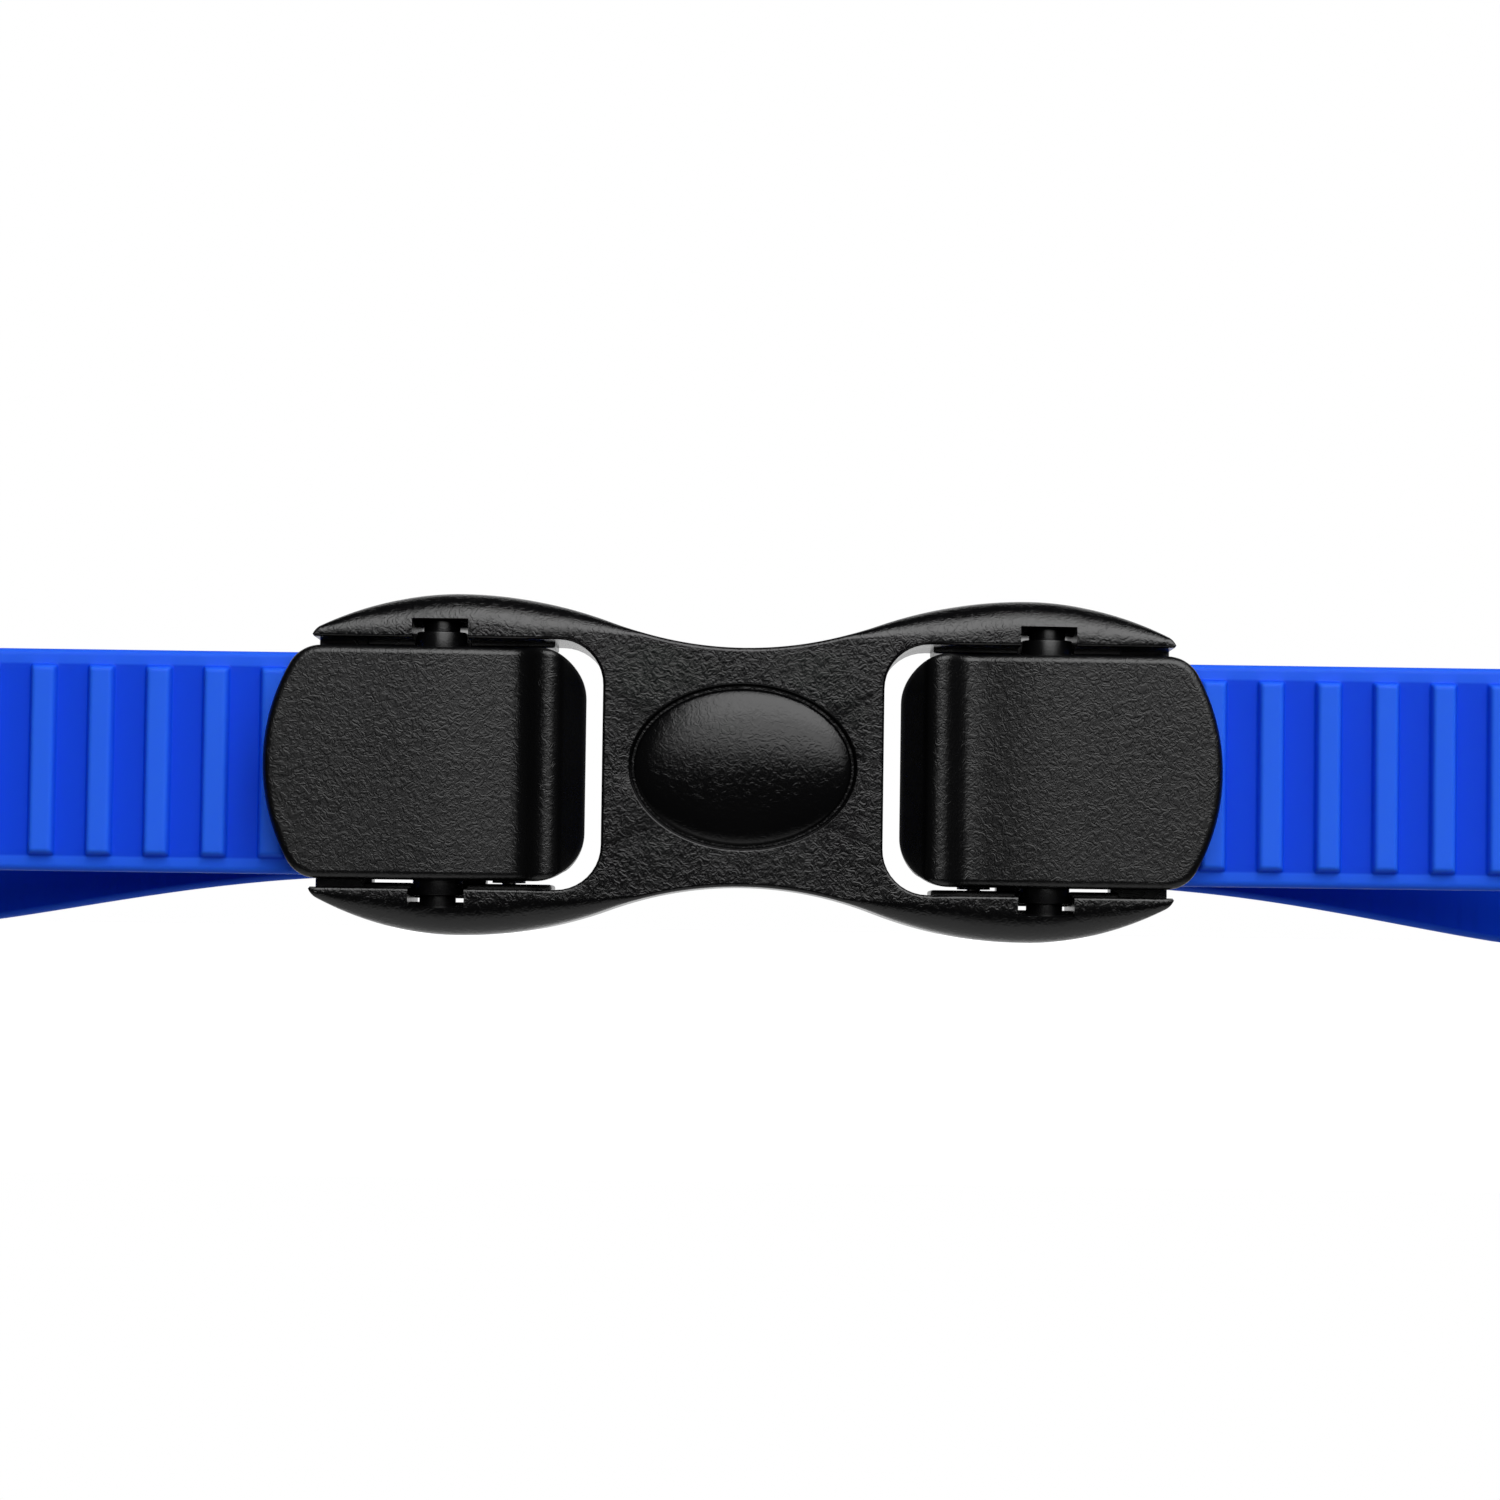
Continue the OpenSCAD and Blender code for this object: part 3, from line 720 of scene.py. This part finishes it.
# %% Joining and cutting
for left in (False, True):
    for sign in (-1, 1):
        low_y, high_y = sorted((sign * LEDGE_HALF, sign * (SLOT_HALF + ROOTED)))
        for low_x, high_x in LEDGES_X:
            side = block((low_x, low_y, LEDGE_Z[0]), (high_x, high_y, LEDGE_Z[1]))
            combine(clip, make_piece("ledge", side, [plain_nylon], left), "UNION")
        combine(clip, make_piece("notch", notch(sign), [plain_nylon], left), "DIFFERENCE")
    for low_x, high_x, reach in ((*FLOOR_X, TONGUE_END), (*BAR_X, SLOT_HALF + ROOTED)):
        side = block((low_x, -reach, BAR_Z[0]), (high_x, reach, BAR_Z[1]))
        combine(clip, make_piece("bar", side, [plain_nylon], left), "UNION")
    for sign in (-1, 1):
        combine(clip, make_piece("bore", bore(sign), [plain_nylon], left), "DIFFERENCE")
soften(clip, 32)
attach(clip, "clip")
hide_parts("frame")
print("finished clip", len(clip.data.polygons), "faces")

# %% [markdown]
# ## The levers
# A lever is a shallow shell: a grained plate with a finger dip and a ridge, a steep smooth nose, and
# skirts that reach down beside the strap. Two side views, one line for its top and one for its skirt,
# give the height of every point of its plan. The plan is symmetric about y = 0, so opposite points of a
# ring pair up, and the top and the ceiling are closed by bridging the ring's two halves. A plain fill
# would lose the dip, because it would stretch long faces across it.

# %% The lever's sizes
NOSE_X = BRIDGE_HALF + 1.3 * MM
LEVER_END = PIVOT_X + 12.45 * MM
NOSE_LOW = PIVOT_Z - 1.7 * MM
NOSE_CORNER_R = 3.5 * MM
END_R = 14.4 * MM
END_CORNER_R = 2.5 * MM
RIDGE_X = NOSE_X + 1.9 * MM
RIDGE_Z = LEVER_TOP + 0.6 * MM
SKIRT_T = 1.1 * MM
PLATE_T = 1.5 * MM
SKIRT_Z = TAIL_TOP + 0.3 * MM


# %% Lines to follow
def follow(x, stops):
    """The height at x on a line of (x, height) stops, straight between them."""
    if x <= stops[0][0]:
        return stops[0][1]
    for (xa, za), (xb, zb) in zip(stops, stops[1:]):
        if x <= xb:
            return za + (zb - za) * (x - xa) / (xb - xa)
    return stops[-1][1]


def bezier(points, steps):
    """Points along a Bezier curve from its first to its last control point."""
    curve = []
    for i in range(steps + 1):
        row = [Vector(p) for p in points]
        while len(row) > 1:
            row = [a.lerp(b, i / steps) for a, b in zip(row, row[1:])]
        curve.append(row[0])
    return curve


# %% The lever's top and skirt seen from the side
def past_ridge(beyond, height):
    """A point some millimetres beyond the ridge."""
    return RIDGE_X + beyond * MM, height


DIP_Z = LEVER_TOP - 0.65 * MM
top_line = [Vector((NOSE_X, NOSE_LOW + 0.5 * MM))]
top_line += bezier([past_ridge(-0.4, RIDGE_Z - 0.95 * MM), past_ridge(-0.1, RIDGE_Z),
                    past_ridge(0.75, RIDGE_Z)], 10)
top_line += bezier([past_ridge(0.75, RIDGE_Z), past_ridge(1.9, RIDGE_Z),
                    past_ridge(1.9, DIP_Z), past_ridge(3.0, DIP_Z)], 12)[1:]
top_line += bezier([past_ridge(3.0, DIP_Z), past_ridge(4.6, DIP_Z),
                    past_ridge(6.0, LEVER_TOP), past_ridge(10.5, LEVER_TOP)], 18)[1:]
top_line += [Vector((LEVER_END, LEVER_TOP))]
skirt_line = [(NOSE_X, NOSE_LOW), (NOSE_X + 1.2 * MM, NOSE_LOW),
              (NOSE_X + 1.4 * MM, PIVOT_Z + 0.2 * MM), (NOSE_X + 3 * MM, PIVOT_Z + 0.9 * MM),
              (PIVOT_X, SKIRT_Z), (LEVER_END - 4.4 * MM, SKIRT_Z + 0.4 * MM),
              (LEVER_END, RIB_TOP + 0.9 * MM)]
print("top line", len(top_line), "points")

# %% The lever's plan: one long side, from nose to outer end
SIDE_STEPS = 36

end_centre = LEVER_END - END_R
corner_dx = sqrt((END_R - END_CORNER_R) ** 2 - (LEVER_HALF - END_CORNER_R) ** 2)
corner_turn = degrees(atan2(LEVER_HALF - END_CORNER_R, corner_dx))
long_from = NOSE_X + NOSE_CORNER_R
long_to = end_centre + corner_dx
side = arc((long_from, LEVER_HALF - NOSE_CORNER_R), NOSE_CORNER_R, 180, 90, 18)
side += [Vector((long_from + (long_to - long_from) * i / SIDE_STEPS, LEVER_HALF))
         for i in range(1, SIDE_STEPS)]
side += arc((long_to, LEVER_HALF - END_CORNER_R), END_CORNER_R, 90, corner_turn, 10)
side += arc((end_centre, 0), END_R, corner_turn, 1.5, 16)[1:]
plan = side + [Vector((p.x, -p.y)) for p in reversed(side)]
print("lever outline", len(plan), "points")


# %% Rings of a lever
def lever_ring(amounts, height_of):
    """The plan, drawn in by these amounts, with each point's height a function of its x and its index."""
    drawn = inset(plan, amounts)
    return [(p.x, p.y, height_of(p.x, i)) for i, p in enumerate(drawn)]


def edge_radius(x):
    """The rounding of the lever's top edge: tighter along the nose's rim."""
    return MM * (0.3 + 0.3 * smooth((x / MM - 12.5) / 2.5))


def bridge_halves(bm, ring):
    """Closes a ring by bridging its two long sides, and closes its two short ends."""
    half = len(ring) // 2
    halves = [ring[:half], ring[half:]]
    edges = [bm.edges.get((a, b)) for part in halves for a, b in zip(part, part[1:])]
    bmesh.ops.bridge_loops(bm, edges=edges)


# %% Growing a lever
TOP_STEPS = 6
RIM = 0.12 * MM          # rounding of the skirt's lower edge
CEILING_LEAST = LEVER_TOP - PLATE_T - 0.35 * MM    # the ceiling dips less than the plate, to clear the ribs
SMOOTH_SLOT = 1


def ceiling_height(x):
    """The height of the lever's ceiling: a plate's thickness below the top, but never under the skirt."""
    return max(follow(x, top_line) - PLATE_T, CEILING_LEAST, follow(x, skirt_line) + 0.25 * MM)


def grow_lever():
    """A lever as a closed shell: a rounded plate on top, then a wall, a skirt and a ceiling below."""
    radii = [edge_radius(p.x) for p in plan]
    bm = bmesh.new()
    wall_top = first_ring(bm, lever_ring([0] * len(plan), lambda x, i: follow(x, top_line) - radii[i]))
    ring = wall_top
    for step in range(1, TOP_STEPS + 1):
        turn = pi / 2 * step / TOP_STEPS
        amounts = [r * (1 - cos(turn)) for r in radii]
        points = lever_ring(amounts, lambda x, i: follow(x, top_line) - radii[i] * (1 - sin(turn)))
        ring = next_ring(bm, ring, points)
    bridge_halves(bm, ring)
    ring = wall_top
    for inwards, up in ((0, RIM), (0.3 * RIM, 0.3 * RIM), (RIM, 0), (SKIRT_T - RIM, 0), (SKIRT_T, RIM)):
        points = lever_ring([inwards] * len(plan), lambda x, i: follow(x, skirt_line) + up)
        ring = next_ring(bm, ring, points)
    points = lever_ring([SKIRT_T + 0.1 * MM] * len(plan), lambda x, i: ceiling_height(x))
    ring = next_ring(bm, ring, points)
    bridge_halves(bm, ring)
    for face in bm.faces:
        if face.calc_center_median().x < RIDGE_X - 0.1 * MM:
            face.material_index = SMOOTH_SLOT
    return bm


# %% Trunnions and ratchet teeth
def pin(radius, low, high, edge):
    """A round boss or trunnion along y, with its ends' edges rounded."""
    bm = bmesh.new()
    bmesh.ops.create_cone(bm, cap_ends=True, segments=48, radius1=radius, radius2=radius, depth=high - low)
    rims = [e for e in bm.edges if abs(e.verts[0].co.z - e.verts[1].co.z) < 1e-9]
    bmesh.ops.bevel(bm, geom=rims, offset=edge, segments=3, profile=0.5, affect="EDGES", material=-1)
    bmesh.ops.rotate(bm, matrix=Matrix.Rotation(pi / 2, 3, "X"), verts=bm.verts)
    bmesh.ops.translate(bm, vec=(PIVOT_X, (low + high) / 2, PIVOT_Z), verts=bm.verts)
    return bm


def tooth(x):
    """One row of the ratchet: a wedge, extruded across the strap."""
    tip_z = RIB_TOP - 0.5 * MM
    root_z = LEVER_TOP - PLATE_T + 0.2 * MM
    wide = RIB_LEN / 2 - 0.3 * MM
    profile = [(x, tip_z), (x, root_z), (x - 2.4 * MM, root_z), (x - 0.4 * MM, tip_z)]
    bm = bmesh.new()
    ring = first_ring(bm, [(point_x, -wide, z) for point_x, z in profile])
    face = bmesh.ops.contextual_create(bm, geom=ring_edges(bm, ring))["faces"]
    grown = bmesh.ops.extrude_face_region(bm, geom=face)["geom"]
    moved = [v for v in grown if isinstance(v, bmesh.types.BMVert)]
    bmesh.ops.translate(bm, vec=(0, 2 * wide, 0), verts=moved)
    return bm


# %% The two levers
TOOTH_X = 28.6 * MM
TOOTH_ROWS = 2
BOSS_R = NOTCH_W / 2 - 0.2 * MM
BOSS_END = NOTCH_OUT - 0.45 * MM
PIN_EDGE = 0.1 * MM

for side_name, left in (("left", True), ("right", False)):
    lever = make_piece(f"{side_name}_ratchet_lever", grow_lever(), [lever_nylon, plain_nylon], left)
    for row in range(TOOTH_ROWS):
        combine(lever, make_piece("tooth", tooth(TOOTH_X - row * RIB_PITCH), [plain_nylon], left), "UNION")
    for sign in (-1, 1):
        boss = sorted((sign * (LEVER_HALF - 0.25 * MM), sign * BOSS_END))
        stub = sorted((sign * (BOSS_END - 0.2 * MM), sign * (NOTCH_OUT + 1.0 * MM)))
        for part, radius, span in (("boss", BOSS_R, boss), ("stub", TRUNNION_R, stub)):
            combine(lever, make_piece(part, pin(radius, *span, PIN_EDGE), [plain_nylon], left), "UNION")
    soften(lever, 35)
    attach(lever, f"{side_name}_lever")
    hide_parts(f"{side_name}_lever")
    print(lever.name, len(lever.data.polygons), "faces")

# %% [markdown]
# ## The straps
# A silicone strap is a flat moulding with a row of ribs. It is swept as rings along its path: along the
# tail, round the roller, back under the clip and round the head. Where a rib comes, the rings lie close
# together and rise on the ribbed side, so strap and ribs are one skin, as in the mould. An array of ribs
# bent along a curve would be quicker, but each rib would sit on the strap with a hard seam. A flat strap
# isn't cloth, so it is drawn directly, not simulated.

# %% The strap's path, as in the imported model
BEND_R = 30 * MM
BEND_ANGLE = 18
HEAD_R = 60 * MM
SIDE_LEN = 58 * MM
INNER_LEN = TIP_X - 0.3 * MM - ROLLER_X
tail_len = TAIL_REACH - ROLLER_X
fold_len = pi * FOLD_R
bend_len = BEND_R * radians(BEND_ANGLE)
head_len = HEAD_R * radians(90 - BEND_ANGLE)
path_len = tail_len + fold_len + INNER_LEN + bend_len + head_len + SIDE_LEN
bend_x = ROLLER_X + INNER_LEN
head_x = bend_x + BEND_R * sin(radians(BEND_ANGLE))
head_z = RUN_Z - BEND_R * (1 - cos(radians(BEND_ANGLE)))
side_x = head_x + HEAD_R * (1 - sin(radians(BEND_ANGLE)))
side_z = head_z - HEAD_R * cos(radians(BEND_ANGLE))
SINK = LOBE_HALF - STRAP_W / 2
sink_start = tail_len + fold_len + 25 * MM - ROLLER_X
print("strap", round(path_len / MM), "mm long")


# %% Following the path
def on_path(s):
    """The strap's middle line at a distance s from its free end: x, z and heading in degrees."""
    a = s - tail_len
    b = a - fold_len
    c = b - INNER_LEN
    d = c - bend_len
    e = d - head_len
    if a < 0:
        return TAIL_REACH - s, TAIL_Z, 180
    if b < 0:
        h = pi + a / FOLD_R
        return ROLLER_X + FOLD_R * sin(h), ROLLER_Z - FOLD_R * cos(h), degrees(h)
    if c < 0:
        return ROLLER_X + b, RUN_Z, 360
    if d < 0:
        h = c / BEND_R
        return bend_x + BEND_R * sin(h), RUN_Z - BEND_R * (1 - cos(h)), 360 - degrees(h)
    if e < 0:
        start = radians(BEND_ANGLE)
        h = start + d / HEAD_R
        x = head_x + HEAD_R * (sin(h) - sin(start))
        return x, head_z - HEAD_R * (cos(start) - cos(h)), 360 - degrees(h)
    return side_x, side_z - e, 270


def sunk(s):
    """How far the strap has settled below the clip's middle."""
    return SINK * smooth((s - sink_start) / SINK_LEN)


# %% Where the ribs are, and their rounded flanks
FLANK = 0.85             # how far in from a rib's nominal side its flank's steps start, in mm
FLANK_STEPS = ((1.1, 0), (1.0, 0.03), (0.93, 0.15), (0.87, 0.45), (0.8, 0.75), (0.7, 0.92), (0.58, 0.985),
               (0.45, 1))    # distance from that start in mm, and share of the rib's height
tooth_rib_x = TOOTH_X + 0.2 * MM + RIB_W / 2    # the rib that the first tooth holds
rib_start = (TAIL_REACH - tooth_rib_x) % RIB_PITCH + RIB_PITCH
ribs = [rib_start + i * RIB_PITCH for i in range(RIB_COUNT)]


def rise(distance, half):
    """How far up a rib is at a distance from its middle, from 0 at its foot to 1 on its top."""
    past = distance - (half - FLANK * MM)
    stops = sorted((reach * MM, share) for reach, share in FLANK_STEPS)
    return follow(past, stops) if past > 0 else 1


print("ribs", len(ribs), "the last", round(ribs[-1] / MM), "mm from the free end")

# %% Where the strap's rings are
END_ROUND = 2.5 * MM     # corner radius of the free end
EYE_BORE_R = 1.6 * MM
EYE_R = 2.8 * MM
FOLD_RINGS = 24
PLAIN_GAP = 1.5          # mm between rings where nothing happens
LEAST_GAP = 0.015        # rings closer than this, in mm, are one


def stations():
    """Distances along the strap at which it has a ring, close together at ribs and bends."""
    found = {0.0, 0.02, path_len / MM}
    for rib in ribs:
        found |= {round(rib / MM + sign * reach, 3) for reach, _ in FLANK_STEPS for sign in (-1, 1)}
    found |= {round((tail_len + fold_len * i / FOLD_RINGS) / MM, 3) for i in range(FOLD_RINGS + 1)}
    plain_count = int(path_len / MM / PLAIN_GAP)
    found |= {round((tail_len + fold_len) / MM + i * PLAIN_GAP, 3) for i in range(plain_count)}
    found |= {round(END_ROUND / MM * (1 - cos(radians(i * 9))), 3) for i in range(11)}
    far = (path_len - EYE_R + 0.4 * MM) / MM
    ordered = sorted(s for s in found if s < far - 0.1) + [far]
    kept = [ordered[0]]
    for s in ordered[1:]:
        if s - kept[-1] > LEAST_GAP:
            kept.append(s)
    return [s * MM for s in kept]


print("rings along a strap", len(stations()))


# %% The strap's section
EDGE_R = 0.5 * MM
RIB_ENDS = [RIB_LEN / 2 + (reach - FLANK) * MM for reach, _ in FLANK_STEPS]
MARGIN_LIT = 0.8        # painted light: the bare margins are painted nearly as pale as the rib tops, as lit


def section(s):
    """A ring round the strap: across its ribbed side, round one edge, back, and round the other."""
    back = max(END_ROUND - s, 0)
    half = STRAP_W / 2 - END_ROUND + sqrt(END_ROUND ** 2 - back ** 2)
    up = max(rise(abs(s - rib), RIB_W / 2) for rib in ribs)
    flat = half - EDGE_R
    across = [-flat] + [-y for y in RIB_ENDS] + [-RIB_LEN / 6, RIB_LEN / 6] + RIB_ENDS[::-1] + [flat]
    across = [max(min(y, flat), -flat) for y in across]
    ring = []
    for y in across:
        share = up * rise(abs(y), RIB_LEN / 2)
        # painted light: ribs are painted paler by their height, and the margins past the ribs' ends paler
        # as lit
        pale = MARGIN_LIT * smooth((abs(y) - RIB_ENDS[2]) / (RIB_ENDS[0] - RIB_ENDS[2]))
        ring.append((y, STRAP_T / 2 + RIB_H * share, max(share, pale)))
    # painted light: the rounded edges are painted as pale as the margins, and the back keeps the darker
    # painted shade
    for centre_v, start in ((STRAP_T / 2 - EDGE_R, 90), (EDGE_R - STRAP_T / 2, 0)):
        ring += [(p.x, p.y, MARGIN_LIT) for p in arc((flat, centre_v), EDGE_R, start, start - 90, 4)[1:]]
    ring += [(y * flat, -STRAP_T / 2, 0) for y in (0.5, 0, -0.5, -1)]
    for centre_v, start in ((EDGE_R - STRAP_T / 2, 270), (STRAP_T / 2 - EDGE_R, 180)):
        ring += [(p.x, p.y, MARGIN_LIT) for p in arc((-flat, centre_v), EDGE_R, start, start - 90, 4)[1:]]
    return ring[:-1]


def placed(s, ring):
    """The ring's points on the board, at a distance s along the strap."""
    x, z, heading = on_path(s)
    out = Vector((sin(radians(heading)), -cos(radians(heading))))
    return [(x + out.x * v, y - sunk(s), z + out.y * v) for y, v, _ in ring]


# %% Sweeping a strap
def grow_strap():
    """A strap as one closed skin, with an attribute of painted light that says how pale each point is
    painted.
    """
    # painted light: each point's paleness, lit on ribs, margins and edges, and shaded in the valleys and on
    # the back
    bm = bmesh.new()
    painted_light = bm.verts.layers.float.new("painted_light")
    stops = stations()
    ring = first_ring(bm, placed(stops[0], section(stops[0])))
    bmesh.ops.contextual_create(bm, geom=ring_edges(bm, ring))
    for s in stops[1:]:
        outline = section(s)
        ring = next_ring(bm, ring, placed(s, outline))
        for vert, (_, _, up) in zip(ring, outline):
            vert[painted_light] = up
    bmesh.ops.contextual_create(bm, geom=ring_edges(bm, ring))
    return bm


# %% The eye and the two straps
def grow_eye():
    """The eye at the strap's end: a short tube with rounded ends, spun round its axis."""
    half, soft = STRAP_W / 2, 0.3 * MM
    outline = arc((EYE_BORE_R + soft, half - soft), soft, 180, 90, 4)
    outline += arc((EYE_R - soft, half - soft), soft, 90, 0, 4)
    outline += [Vector((p.x, -p.y)) for p in reversed(outline)]
    bm = bmesh.new()
    ring = first_ring(bm, [(p.x, p.y, 0) for p in outline])
    bmesh.ops.spin(bm, geom=ring_edges(bm, ring) + ring, cent=(0, 0, 0), axis=(0, 1, 0), angle=2 * pi,
                   steps=48, use_merge=True)
    bmesh.ops.remove_doubles(bm, verts=bm.verts, dist=1e-7)
    bmesh.ops.translate(bm, vec=(side_x, -SINK, side_z - SIDE_LEN), verts=bm.verts)
    return bm


for side_name, left in (("left", True), ("right", False)):
    strap = make_piece(f"{side_name}_ribbed_strap", grow_strap(), [silicone], left)
    combine(strap, make_piece("eye", grow_eye(), [silicone], left), "UNION")
    soften(strap, 50)
    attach(strap, "clip")
    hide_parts(f"{side_name}_strap")
    print(strap.name, len(strap.data.polygons), "faces")
